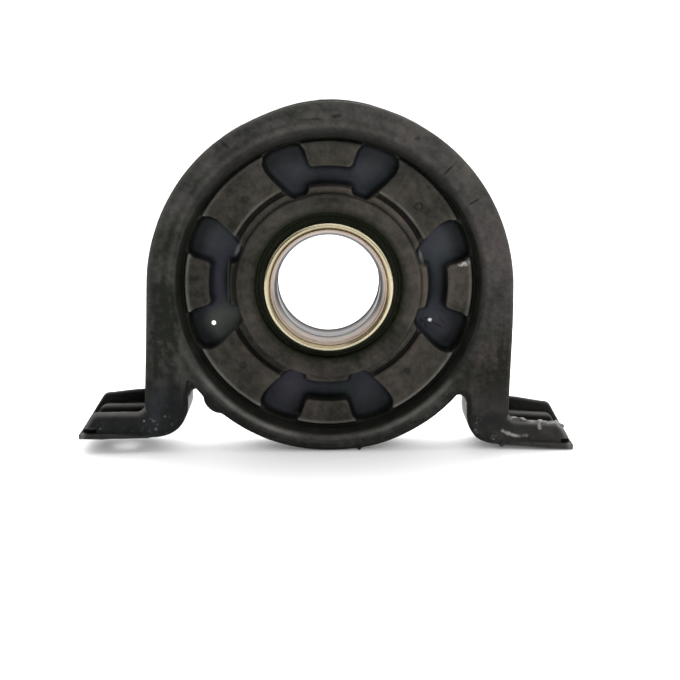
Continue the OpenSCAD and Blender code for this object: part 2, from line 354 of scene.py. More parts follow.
def rubber_tone(p):
    """Tone of the rubber by place, 0 dark and 1 light brown: partly its patchy brown bloom, partly painted shade low
    down, on the left and on the tabs beside the hub, and painted light on the upper tab.
    """
    x, z, w = p[:, 0], p[:, 1], p[:, 2]
    r = np.hypot(x, z)
    t = 0.42 + 0.18 * ramp(10, 95, x) * ramp(-70, 0, z) - 0.16 * ramp(0, -90, x) * ramp(75, 20, z) - 0.06 * ramp(70, 100, np.abs(x))
    t = t - 0.15 * ramp(60, 92, x) * ramp(25, -25, z) - 0.05 * ramp(-70, -95, x) * ramp(-50, -10, z)
    t = t - 0.26 * ramp(-30, -80, z) * ramp(80, 90, np.abs(x)) * ramp(20, -20, x)
    t = t - 0.06 * ramp(0, -60, z) * ramp(80, 90, x)
    t = t - (0.08 + 0.10 * ramp(94, 98, r)) * ramp(-45, -70, z) * ramp(91, 95, r) * ramp(84, 78, np.abs(x))
    t = t - 0.07 * np.exp(-(x / 30) ** 2) * ramp(60, 80, z) * ramp(91, 94, r) * (1 + 2.6 * ramp(101, 105, r))
    t = t - 0.12 * ramp(-74, -92, x) * ramp(-66, -40, z) * ramp(45, 15, z) * ramp(92, 96, r)
    t = t - 0.08 * ramp(-40, -60, x) * ramp(40, 60, z) * (np.exp(-((r - 93.5) / 1.6) ** 2) + np.exp(-((r - 102.5) / 2.2) ** 2))
    t = t - 0.10 * ramp(30, 62, x) * ramp(-48, -62, z) * ramp(92, 94, r) * ramp(84, 78, np.abs(x))
    t = t + 0.10 * np.exp(-(x / 22) ** 2) * ramp(-80, -92, z) * ramp(93, 95, r)
    t = t - (0.12 + 0.12 * ramp(10, -40, x)) * ramp(60, 62, r) * ramp(86, 84, r) * ramp(0, 40, z) - 0.05 * ramp(56, 54, r)
    t = t - (0.14 * ramp(10, -30, x) + 0.45 * ramp(-10, -38, z) * ramp(55.5, 57.5, r)) * ramp(54, 55.2, r) * ramp(60.6, 59, r) * (1 - np.exp(-(x / 17) ** 2))
    t = t - 0.05 * ramp(60, 62, r) * ramp(86, 84, r) * ramp(-40, -60, z)
    t = t - 0.08 * np.exp(-((np.degrees(np.arctan2(z, x)) + 135) / 14) ** 2) * ramp(92, 94, r)
    t = t - 0.12 * np.exp(-((z + 32) / 22) ** 2) * ramp(70, 84, x) * ramp(102, 98, r)
    t = t - 0.16 * ramp(10, 50, x) * ramp(56, 54, r) - 0.16 * ramp(62, 70, r) * ramp(86, 84, r) * (ramp(24, 16, np.abs(z)) * ramp(50, 60, x) + ramp(24, 16, np.abs(x)) * ramp(-50, -60, z))
    t = t - 0.60 * ramp(-46, -52, x) * ramp(24, 16, np.abs(z)) * ramp(54, 55, r) * ramp(61, 59, r)
    t = t - 0.10 * blob(p, 48, -80, 26, 18)
    t = t + 0.02 * ramp(60, 62, r) * ramp(86, 84, r) * ramp(3.5, 4.6, w) + (0.10 + 0.30 * ramp(20, 50, z) * np.exp(-(x / 17) ** 2)) * ramp(54, 55, r) * ramp(60, 58, r)
    t = t + (0.10 * ramp(-10, -50, z) - 0.08 * ramp(10, 60, x) * ramp(10, 60, z)) * ramp(60, 62, r) * ramp(86, 84, r)
    t = t + 0.06 * ramp(20, -50, x) * ramp(56, 54, r)
    return t


def build_rubber(h=0.8):
    xs = np.arange(-111.6, 112.1, h)
    zs = np.arange(-102.4, 108.9, h)
    ws = np.arange(-23.2, 18.1, h)
    x, z = np.meshgrid(xs, zs, indexing="ij")
    ax = np.abs(x)
    r = np.hypot(x, z)
    tr = np.arange(38, 114, 0.2)
    tw = np.arange(-26, 20.01, 0.2)
    trr, tww = np.meshgrid(tr, tw, indexing="ij")
    table = poly_sdf(trr, tww, SECTION)
    table = blur(blur(table, 2.2, 0), 2.2, 1)

    bx = np.abs(x - SIDE)
    br = np.hypot(bx, z)
    outer = np.where(z < 0, bx - (ARCH_R - 0.5) + FLARE * z / 95.0, br - (ARCH_R - 0.5)) - arch_bulge(x, z)
    ang = np.degrees(np.arctan2(z, x))
    drop = rim_drop(ang)
    swell = (0.9 * ramp(-86, -68, ang) + 0.2 * ramp(-60, -50, ang)) * (x > 0) + \
        0.15 * ramp(-98, -112, ang) * (x < 0) * (z < 0)
    ring = np.hypot(x - 0.5 * SIDE, z) - RING_R - swell
    leg = np.where(z < -20, np.where(x > 0, LEG_IN_R, LEG_IN) - bx, -10.0)
    body = round_union(ring, leg, NOTCH_R)
    p2 = blur(blur(pocket_distance(x, z), 0.7, 0), 0.7, 1)

    # front of the arch, legs and ring
    low = ramp(-47, -62, z) * (1 - ramp(77, 86, ax))
    near = ramp(60, 74, ax) * low
    near = near * (x > 0)
    off = 8.6 - 3.2 * near
    slope = np.where(x > 0, body, ring)
    # how strongly the painted highlight along the ring's crest shows, by angle round the ring
    ring_marks = np.interp(ang, [-150, -135, -122, -110, -96, -84, -70, -58, -45, -30], [0.5, 0.82, 1.0, 1.0, 0.14, 0.12, 0.46, 0.48, 0.36, 0.25])
    front = FRONT - (4.2 - 0.8 * near) * np.clip((off + slope) / off, 0, 1.15) ** 1.1 * low
    crest = np.exp(-((r - 91.5) / 1.25) ** 2) * low
    front = front + 0.25 * crest
    wear = value_noise(x, z, 5.0, 3) + 0.6 * value_noise(x, z, 2.1, 4)
    on_leg = ramp(76, 83, ax) * ramp(-40, -60, z)
    front = front - on_leg * (3.0 * ramp(-66, -89, z + 1.2 * wear) + 0.1 * wear * ramp(-60, -80, z))
    front = front + 0.05 * value_noise(x, z, 14.0, 5)
    back = np.where(r < RING_R - 0.5, 0.0, STEEL_F - 0.3)
    fill = np.maximum(np.maximum(round_union(ring, leg + 0.3, NOTCH_R), bx - 84.0), np.maximum(z + 40, 88 - r))
    fill = np.maximum(fill, -79.0 - z)
    soft_edge = 4.6 + 3.2 * low

    fa = math.radians(-132.4)
    flash_t = (x - 99.4 * math.cos(fa)) * math.sin(fa) - (z - 99.4 * math.sin(fa)) * math.cos(fa)
    flash_n = (x - 99.4 * math.cos(fa)) * math.cos(fa) + (z - 99.4 * math.sin(fa)) * math.sin(fa)
    specks = [(x - sx, z - sz, sr) for sx, sz, sr in ((104.9, -71.9, 0.9), (108.2, -73.2, 1.0), (101.5, -70.6, 0.7), (91.6, -74.0, 0.6))]

    # shallow bowl in each pocket floor
    floor_f = FLOOR_F - 1.0 * ramp(0.0, 9.0, -p2)

    dents = []
    for deg, rad, rr, depth in ((135, 70.0, 2.2, 0.7), (224.5, 70.0, 2.2, 0.8), (313.5, 69.5, 2.0, 0.7)):
        dx, dz = rad * math.cos(math.radians(deg)), rad * math.sin(math.radians(deg))
        dents.append((np.hypot(x - dx, z - dz), rr, depth))
    mx, mz = 70 * math.cos(math.radians(43)), 70 * math.sin(math.radians(43))
    moat = np.abs(np.hypot(x - mx, z - mz) - 2.1)
    vent = np.hypot(x + 68.3, z + 26.5) - 1.4

    f = np.empty((len(xs), len(zs), len(ws)), np.float32)
    flat_r = (r + drop * ramp(85.2, 87.4, r) - swell * ramp(93, 98, r)).ravel()
    roll = 1.4 + 2.4 * drop / 2.3
    for k, w in enumerate(ws):
        col = np.array([np.interp(w, tw, table[i]) for i in range(len(tr))])
        base = np.interp(flat_r, tr, col).reshape(r.shape)
        top = w - front
        plate = np.maximum(smax(body, top, soft_edge), smax(outer, top, 1.5))
        plate = np.maximum(plate, smax(88.7 - 0.75 * drop - r, top, roll))
        plate = np.maximum(np.maximum(plate, back - w), -92.0 - z)
        v = smin(base, plate, 0.9)
        v = smin(v, np.maximum(smax(fill, top, soft_edge), -19.5 - w), 0.8)
        # flash left on the ring beside one leg, and a nib under the ring
        v = smin(v, np.sqrt(((flash_t) / 7.2) ** 2 + ((flash_n) / 3.9) ** 2 + ((w - 6.5) / 5.0) ** 2) * 3.9 - 3.9, 1.6)
        v = smin(v, np.sqrt((x - 20.6) ** 2 + (z + 98.2) ** 2 + (w - 9.6) ** 2) - 1.25, 0.9)
        for sx, sz, sr in specks:
            v = smin(v, np.sqrt(sx ** 2 + sz ** 2 + (w - 12.9) ** 2) - sr, 0.5)
        cut = smax(p2, floor_f - w, 5.0)
        v = smax(v, -cut, 1.7)
        cut = smax(p2, w - FLOOR_B, 5.0)
        v = smax(v, -cut, 1.3)
        for d, rr, depth in dents:
            v = smax(v, -np.maximum(d - rr, (PAD_F - depth) - w), 0.8)
        v = smax(v, -np.maximum(moat - 0.55, (PAD_F - 0.6) - w), 0.6)
        v = np.maximum(v, -np.maximum(vent, abs(w + 4.4) - 4.0))
        f[:, :, k] = v
    verts, quads = surface_nets(f, xs, zs, ws)
    ob = new_object("rubber_moulding", verts, quads)
    lighten(ob, 192000)
    shade_from(ob, f, xs, zs, ws)
    p = points(ob)
    soft = blur(blur(blur(f, 1.2, 0), 1.2, 1), 1.2, 2)
    bend = sample(soft, xs, zs, ws, p) - sample(f, xs, zs, ws, p)
    mark(ob, "edge", np.clip(bend / 0.35, 0, 1))
    mark(ob, "crease", np.clip(-bend / 0.35, 0, 1))
    pd = pocket_distance(p[:, 0], p[:, 1])
    pr = np.hypot(p[:, 0], p[:, 1])
    mark(ob, "pocket", ramp(1.2, -0.8, pd) * ramp(PAD_F - 0.4, PAD_F - 2.4, p[:, 2]))
    mark(ob, "hub", ramp(56.5, 54.0, pr))
    mark(ob, "recess", ramp(45.4, 43.0, pr) * ramp(15.6, 14.6, np.abs(p[:, 2])))
    mark(ob, "middle", ramp(0.4, 3.8, -pd))
    mark(ob, "ends", (1 - 0.22 * (p[:, 0] > 0)) * ramp(48, 40, np.abs(p[:, 1])) + 0.62 * ramp(40, 48, p[:, 1]) + 0.32 * ramp(-40, -48, p[:, 1]))
    flat = lambda a: sample(np.repeat(a[:, :, None], 2, 2), xs, zs, ws[:2], p)
    mark(ob, "crest", flat(crest * ring_marks) * ramp(7.0, 10.0, p[:, 2]))
    rim_edge = 89.5 - flat(drop)
    mark(ob, "wall", ramp(84.2, 85.2, pr) * ramp(0.8, -0.6, pr - rim_edge) * ramp(-3.0, 0.0, p[:, 2]))
    # painted highlight along the pads' outer bevel, strongest on the left and lowest pads
    deg = np.degrees(np.arctan2(p[:, 1], p[:, 0])) % 360
    lit = np.interp(deg, [0, 14, 30, 60, 90, 120, 150, 168, 192, 215, 250, 270, 290, 315, 345, 360],
                    [0.30, 0.30, 0.10, 0.08, 0.05, 0.12, 0.20, 0.40, 0.38, 0.60, 0.60, 0.42, 0.45, 0.45, 0.30, 0.30])
    mark(ob, "bevel", np.exp(-((pr - 83.5) / 1.05) ** 2) * ramp(-0.5, 0.8, pd) * ramp(PAD_F - 2.8, PAD_F - 1.6, p[:, 2]) * lit)
    deg2 = (deg + 180) % 360 - 180
    # painted highlight along the inner lip of the upper pads
    mark(ob, "lip", np.exp(-((pr - 62.3) / 0.75) ** 2) * ramp(12, 36, p[:, 1]) * ramp(0.4, 1.6, pd) * ramp(PAD_F - 1.6, PAD_F - 0.6, p[:, 2]))
    mark(ob, "roll", ramp(-48, -25, deg2) * ramp(172, 138, deg2) * ramp(2.0, 5.0, p[:, 2]) * ramp(85.2, 86.0, pr))
    mark(ob, "pad", ramp(85.5, 84.5, pr) * ramp(2.0, 4.0, p[:, 2]))
    ground = ramp(-48, -76, p[:, 1] + 4.0 * value_noise(p[:, 0], p[:, 1], 7.0, 31)) * ramp(76, 84, np.abs(p[:, 0]))
    mark(ob, "low_leg", ground)
    # shaded roll-over along the lower outline
    lower = ramp(-45, -62, p[:, 1]) * ramp(4.0, 8.0, p[:, 2])
    mark(ob, "border", ramp(-3.4, -1.2, flat(body)) * lower)
    mark(ob, "low_ring", ramp(-50, -66, p[:, 1]) * ramp(84, 76, np.abs(p[:, 0])) * ramp(89.0, 90.0, pr))
    mark(ob, "right", ramp(-30, 60, p[:, 0]))
    mark(ob, "tone", rubber_tone(p))
    mark(ob, "leg", ramp(80, 87, np.abs(p[:, 0])) * ramp(10, -40, p[:, 1]))
    return ob


# ------------------------------------------------------------------ bracket
def build_bracket(h=0.8):
    xs = np.arange(-150.4, 151.3, h)
    zs = np.arange(-99.2, 109.5, h)
    ws = np.arange(-24.0, 14.5, h)
    x, z = np.meshgrid(xs, zs, indexing="ij")
    x = x - SIDE
    ax = np.abs(x)
    # each foot leans down a little towards its outer end
    z0 = z
    z = z + ramp(88, 100, ax) * (0.7 - 0.031 * (FOOT_END - ax))
    r = np.hypot(ax, z)
    # distance from the inner path of the channel, positive on the steel's side
    leg = round_cut(np.where(x > 0, LEG_IN_R, LEG_IN) - ax, FOOT_Z - z, np.where(x > 0, BEND_R_R, BEND_R))
    path = np.where(z < -36, smax(RING_R - r, leg, 2.5), RING_R - r)
    end = FOOT_END + 0.6 * (x > 0)
    g = -path

    def outline(flange_h):
        arch = np.where(z < 0, ax - ARCH_R + FLARE * z / 95.0, r - ARCH_R) - arch_bulge(x, z)
        top = FOOT_Z + flange_h
        ex, ez = end - 0.8, FOOT_Z + 5.0
        tx, tz = end - 8.4, FOOT_Z + 17.4
        n = math.hypot(7.6, tz - ez)
        slant = smax(((tz - ez) * (ax - ex) - (tx - ex) * (z - ez)) / n, ax - ex, 1.5)
        foot = smax(np.maximum(z - top, 60 - ax), slant, 2.2)
        return round_union(arch, foot, 5.0)

    out_f, out_b = outline(16.4), outline(20.2 + 2.4 * ramp(140, 108, ax))
    out_w = np.minimum(np.maximum(out_f, out_b), np.maximum(g - SHEET, ax - end))
    # torn coating along the right flange, a scuff across its face, and specks of weld
    torn = line_distance(x, z, [(110.0, -77.6), (115.5, -77.8), (121.0, -79.0), (127.0, -78.6), (132.5, -79.4), (137.0, -79.0), (141.5, -81.6)])
    torn = np.minimum(torn, line_distance(x, z, [(126.6, -79.0), (127.4, -82.8)]) + 0.25)
    torn = torn - 0.30 - 0.80 * value_noise(x, z, 2.6, 21) - 0.35 * value_noise(x, z, 1.3, 22)
    scuff = line_distance(x, z, [(105.0, -85.8), (108.0, -87.3), (112.0, -88.4), (116.0, -88.7), (119.6, -87.8)])
    scuff = scuff - 0.30 - 0.40 * value_noise(x, z, 2.4, 23)
    specks = [(x - sx, z - sz, sr) for sx, sz, sr in (
        (-108.4, -84.0, 0.7), (-96.0, -81.2, 0.75), (-101.4, -89.0, 0.8), (-134.4, -88.6, 0.55), (99.8, -91.3, 0.7))]
    bolt = ax - 123.0
    lip = ramp(104, 132, ax)
    f = np.empty((len(xs), len(zs), len(ws)), np.float32)
    chan = 0.5 * (STEEL_F + STEEL_B)
    rough = 0.10 * value_noise(x, z, 7.0, 11) + 0.05 * value_noise(x, z, 2.4, 12)
    for k, w in enumerate(ws):
        body = np.maximum(round_cut(path, w - STEEL_F, 3.0), round_cut(path, STEEL_B - w, 5.0))
        hollow = np.maximum(SHEET - g, abs(w - chan) - 0.5 * (STEEL_F - STEEL_B) + SHEET)
        v = smax(body, -hollow, 1.5)
        # rolled edges of both flanges, then the web between them
        if w > chan:
            edge = smax(out_f, w - STEEL_F, 6.0)
        else:
            edge = smax(out_b, STEEL_B - w, 2.4)
        v = smax(v, edge, 1.2)
        # bottom plate of each foot
        plate = np.maximum(np.maximum(ax - end, LEG_IN + BEND_R + 2.0 - ax), np.maximum(FOOT_Z - z, z - FOOT_Z - 3.4))
        plate = smax(plate, np.maximum(w - STEEL_F - 1.5 * lip, STEEL_B - w), 0.9)
        # ledge along the back wall of the foot, and the gap above the plate at its outer end
        ledge = np.maximum(smax(z + 81.0, w - (STEEL_B + SHEET + 4.0), 2.4), np.maximum(104.0 - ax, STEEL_B + 1.0 - w))
        ledge = np.maximum(ledge, smax(out_b + 3.0, z + 81.0, 3.0))
        v = smin(v, ledge, 0.6)
        gap = np.maximum(np.where(x > 0, 140.5, 136.8) - ax, np.maximum(z + 89.4, -91.5 - z))
        v = smax(v, -np.maximum(gap, STEEL_F - 2.8 - w), 0.8)
        v = smin(v, plate, 0.7)
        v = smin(v, np.maximum(np.hypot(np.maximum(torn, 0), w - 10.2) - 0.8, torn - 0.3), 0.7)
        v = smin(v, np.maximum(scuff, abs(w - STEEL_F) - 0.4), 0.8)
        for sx, sz, sr in specks:
            v = smin(v, np.sqrt(sx ** 2 + sz ** 2 + (w - STEEL_F - 0.1) ** 2) - sr, 0.5)
        v = smin(v, np.sqrt((x - 105.2) ** 2 + (z + 94.9) ** 2 + (w - 10.0) ** 2) - 1.5, 0.8)
        v = np.maximum(v, -(np.hypot(bolt, w - chan) - 7.0 + 0 * z) - 1e3 * (z > FOOT_Z + 8))
        f[:, :, k] = v + rough * (np.abs(v) < 3)
    verts, quads = surface_nets(f, xs, zs, ws)
    ob = new_object("bracket_pressing", verts, quads)
    lighten(ob, 180000)
    shade_from(ob, f, xs, zs, ws)
    p = points(ob)
    soft = blur(blur(blur(f, 1.2, 0), 1.2, 1), 1.2, 2)
    bend = sample(soft, xs, zs, ws, p) - sample(f, xs, zs, ws, p)
    mark(ob, "edge", np.clip(bend / 0.35, 0, 1))
    mark(ob, "crease", np.clip(-bend / 0.35, 0, 1))
    flat = lambda a: sample(np.repeat(a[:, :, None], 2, 2), xs, zs, ws[:2], p)
    bare = np.maximum(ramp(1.1, 0.1, flat(torn)), ramp(0.9, 0.0, flat(scuff))) * ramp(8.6, 9.6, p[:, 2])
    for sx, sz, sr in specks:
        bare = np.maximum(bare, 0.6 * ramp(sr + 0.5, 0.1 * sr, flat(np.hypot(sx, sz))) * ramp(10.8, 11.6, p[:, 2]))
    mark(ob, "bare", bare)
    # painted highlight along the rolled top edge of each foot's front flange
    rim = np.exp(-((flat(out_f) + 1.5) / 1.3) ** 2) * ramp(7.0, 9.0, p[:, 2]) * ramp(100, 106, np.abs(p[:, 0]))
    mark(ob, "rim", rim)
    mark(ob, "right", ramp(-30, 60, p[:, 0]))
    mark(ob, "grit", (blob(p, -100, -86, 8, 5) + blob(p, 90, -82, 5, 7) + blob(p, 97, -90, 6, 3)) * ramp(10.6, 11.4, p[:, 2]))
    gap_end = np.where(p[:, 0] - SIDE > 0, 140.5, 136.8)
    zl = flat(z)
    # painted shade in the gap above each foot's plate
    mark(ob, "gap", ramp(-0.6, 0.4, np.abs(p[:, 0] - SIDE) - gap_end) * ramp(-91.9, -91.3, zl) * ramp(-89.0, -89.8, zl) * ramp(7.0, 8.4, p[:, 2]) * ramp(11.8, 11.0, p[:, 2]))
    # painted reflection: light grey on the inner faces of the web seen through the notches
    mark(ob, "web", ramp(1.0, 0.2, flat(g)) * ramp(8.6, 7.4, p[:, 2]) * ramp(-40, -60, p[:, 1]) * ramp(-93, -88, p[:, 1]))
    # painted shade along the lower outline round the notches
    mark(ob, "border", ramp(4.0, 1.0, flat(g)) * ramp(7.0, 9.0, p[:, 2]) * ramp(-50, -64, p[:, 1]) * ramp(108, 92, np.abs(p[:, 0])))
    # painted highlight along the ledge in each foot
    mark(ob, "ledge", np.exp(-((zl + 81.4) / 1.5) ** 2) * ramp(-17.6, -16.6, p[:, 2]) * ramp(-12.0, -13.0, p[:, 2]) * ramp(100, 106, np.abs(p[:, 0])))
    # painted shade inside the channel
    mark(ob, "inside", ramp(7.6, 5.0, p[:, 2]) * ramp(-18.9, -17.6, p[:, 2]) * ramp(60, 90, np.abs(p[:, 0])))
    return ob


rubber = build_rubber()
bracket = build_bracket()

# ------------------------------------------------------------------ turned pieces


def arc(cx, cy, r, a0, a1, n):
    return [(cx + r * math.cos(math.radians(a0 + (a1 - a0) * i / n)), cy + r * math.sin(math.radians(a0 + (a1 - a0) * i / n))) for i in range(n + 1)]


race = arc(39.0, 0.0, 5.72, -127, -233, 28)
inner = rounded([(30, -9.5), (33.2, -16), (34, -16), (34, -9.3), (35.5, -9.3)], [0.5, 0.25, 0.25, 0.1, 0.3], 4) + race + \
    rounded([(35.5, 9.3), (34, 9.3), (34, 16), (33.2, 16), (30, 9.5)], [0.3, 0.1, 0.25, 0.25, 0.5], 4)
inner_ring = lathe("inner_ring_turned", inner)
ip = points(inner_ring)
mark(inner_ring, "bore", ramp(30.9, 30.3, np.hypot(ip[:, 0], ip[:, 1])))
mark(inner_ring, "upper", ramp(-24, -4, ip[:, 1]))

FO, CR = 37.8, 1.75
fl = [(34.02, 9.45), (35.2, 9.45), (35.2, 11.4), (FO - 0.5, 12.05), (FO, 12.6)] + arc(FO - CR, 17 - CR, CR, 0, 158, 20) + \
    [(34.02, 15.8)]
front_flinger = lathe("front_flinger_rolled", fl)
rear_flinger = lathe("rear_flinger_rolled", [(a, -b) for a, b in fl])

seal = rounded([(35.9, 7.8), (36.5, 7.3), (43.05, 7.3), (43.05, 8.65), (41.2, 8.65), (40.6, 8.2), (38.4, 8.2), (37.8, 8.6), (37.0, 8.7), (35.9, 8.3)], 0.25, 4)
front_seal = lathe("front_seal_ring", seal)
rear_seal = lathe("rear_seal_ring", [(a, -b) for a, b in seal])

# ------------------------------------------------------------------ materials


class Mat:
    def __init__(self, name):
        self.m = bpy.data.materials.new(name)
        self.m.use_nodes = True
        self.t = self.m.node_tree
        self.b = next(n for n in self.t.nodes if n.type == "BSDF_PRINCIPLED")
        self.co = self.t.nodes.new("ShaderNodeTexCoord")

    def set(self, **kw):
        for k, v in kw.items():
            self.b.inputs[k.replace("_", " ")].default_value = v
        return self

    def link(self, a, b):
        self.t.links.new(a, b)

    def noise(self, scale, detail=4.0, rough=0.55, stretch=None, distort=0.0):
        n = self.t.nodes.new("ShaderNodeTexNoise")
        n.inputs["Scale"].default_value = scale
        n.inputs["Detail"].default_value = detail
        n.inputs["Roughness"].default_value = rough
        n.inputs["Distortion"].default_value = distort
        if stretch:
            mp = self.t.nodes.new("ShaderNodeMapping")
            mp.inputs["Scale"].default_value = stretch
            self.link(self.co.outputs["Object"], mp.inputs["Vector"])
            self.link(mp.outputs["Vector"], n.inputs["Vector"])
        else:
            self.link(self.co.outputs["Object"], n.inputs["Vector"])
        return n.outputs["Fac"]

    def ramp(self, fac, stops):
        n = self.t.nodes.new("ShaderNodeValToRGB")
        e = n.color_ramp.elements
        while len(e) < len(stops):
            e.new(0.5)
        for el, (pos, col) in zip(e, stops):
            el.position = pos
            el.color = (*col, 1.0) if len(col) == 3 else col
        self.link(fac, n.inputs["Fac"])
        return n.outputs["Color"]

    def spot(self, x, z, along, length, width):
        """Soft oval mark on the front face; lengths in millimetres, along in degrees from +x."""
        mp = self.t.nodes.new("ShaderNodeMapping")
        mp.vector_type = "TEXTURE"
        mp.inputs["Location"].default_value = (x / 1000, -0.01, z / 1000)
        mp.inputs["Rotation"].default_value = (0, -math.radians(along), 0)
        mp.inputs["Scale"].default_value = (length / 2000, 0.06, width / 2000)
        n = self.t.nodes.new("ShaderNodeTexGradient")
        n.gradient_type = "SPHERICAL"
        self.link(self.co.outputs["Object"], mp.inputs["Vector"])
        self.link(mp.outputs["Vector"], n.inputs["Vector"])
        return n.outputs["Fac"]

    def radius(self):
        """Distance from the shaft axis, in metres."""
        mp = self.t.nodes.new("ShaderNodeMapping")
        mp.inputs["Scale"].default_value = (1, 0, 1)
        n = self.t.nodes.new("ShaderNodeVectorMath")
        n.operation = "LENGTH"
        self.link(self.co.outputs["Object"], mp.inputs["Vector"])
        self.link(mp.outputs["Vector"], n.inputs[0])
        return n.outputs["Value"]

    def depth(self):
        """Distance along the shaft axis, in metres."""
        n = self.t.nodes.new("ShaderNodeSeparateXYZ")
        self.link(self.co.outputs["Object"], n.inputs["Vector"])
        return n.outputs["Y"]

    def profile(self, sock, lo, hi, stops):
        """Grey or colour by distance; stops are (distance, grey) or (distance, colour)."""
        grey = [((v - lo) / (hi - lo), (c, c, c) if isinstance(c, float) else c) for v, c in stops]
        return self.ramp(self.span(sock, 0.0, 1.0, lo, hi), grey)

    def attr(self, name):
        n = self.t.nodes.new("ShaderNodeAttribute")
        n.attribute_name = name
        return n.outputs["Fac"]

    def mix(self, fac, a, b, mode="MIX"):
        n = self.t.nodes.new("ShaderNodeMix")
        n.data_type = "RGBA"
        n.blend_type = mode
        ins = [s for s in n.inputs if s.type == "RGBA"]
        facs = [s for s in n.inputs if s.name == "Factor" and s.type == "VALUE"]
        if hasattr(fac, "links"):
            self.link(fac, facs[0])
        else:
            facs[0].default_value = fac
        for sock, v in zip(ins, (a, b)):
            if hasattr(v, "links"):
                self.link(v, sock)
            else:
                sock.default_value = (*v, 1.0)
        return next(s for s in n.outputs if s.type == "RGBA")

    def span(self, fac, lo, hi, f0=0.0, f1=1.0):
        n = self.t.nodes.new("ShaderNodeMapRange")
        n.inputs["From Min"].default_value = f0
        n.inputs["From Max"].default_value = f1
        n.inputs["To Min"].default_value = lo
        n.inputs["To Max"].default_value = hi
        self.link(fac, n.inputs["Value"])
        return n.outputs["Result"]

    def math(self, op, a, b):
        n = self.t.nodes.new("ShaderNodeMath")
        n.operation = op
        for sock, v in zip(n.inputs, (a, b)):
            if hasattr(v, "links"):
                self.link(v, sock)
            else:
                sock.default_value = v
        return n.outputs["Value"]

    def bump(self, height, strength, distance):
        n = self.t.nodes.new("ShaderNodeBump")
        n.inputs["Strength"].default_value = strength
        n.inputs["Distance"].default_value = distance
        self.link(height, n.inputs["Height"])
        prev = [l.from_socket for l in self.t.links if l.to_socket == self.b.inputs["Normal"]]
        if prev:
            self.link(prev[0], n.inputs["Normal"])
        self.link(n.outputs["Normal"], self.b.inputs["Normal"])

    def color(self, sock):
        self.link(sock, self.b.inputs["Base Color"])

    def rough(self, sock):
        self.link(sock, self.b.inputs["Roughness"])


def low_leg_colour(m):
    """Colour shared alike by the bottom of both legs, the rubber's end and the steel below it: dark with painted shade,
    darker and colder on the left leg.
    """
    cold = m.ramp(m.noise(60, 6, 0.68), [(0.36, (0.0042, 0.0053, 0.0047)), (0.62, (0.0120, 0.0134, 0.0130))])
    warm = m.ramp(m.noise(66, 6, 0.68), [(0.36, (0.0125, 0.0123, 0.0118)), (0.62, (0.0345, 0.0318, 0.0305))])
    col = m.mix(m.attr("right"), cold, warm)
    streak = m.span(m.noise(110, 4, 0.6, stretch=(1, 1, 0.16)), 0.2, 1.0, 0.38, 0.6)
    blue = m.math("MULTIPLY", streak, m.span(m.spot(-100.0, -74.0, 84, 44, 22), 0.0, 0.85, 0.05, 0.6))
    col = m.mix(blue, col, (0.0205, 0.0232, 0.0285))
    col = m.mix(m.span(m.spot(103.9, -80.9, -10, 34, 18), 0.0, 0.8, 0.1, 0.7), col, (0.0125, 0.0150, 0.0135))
    return m.mix(m.span(m.noise(260, 4, 0.6), 0.0, 0.22, 0.55, 0.72), col, (0.050, 0.050, 0.049))


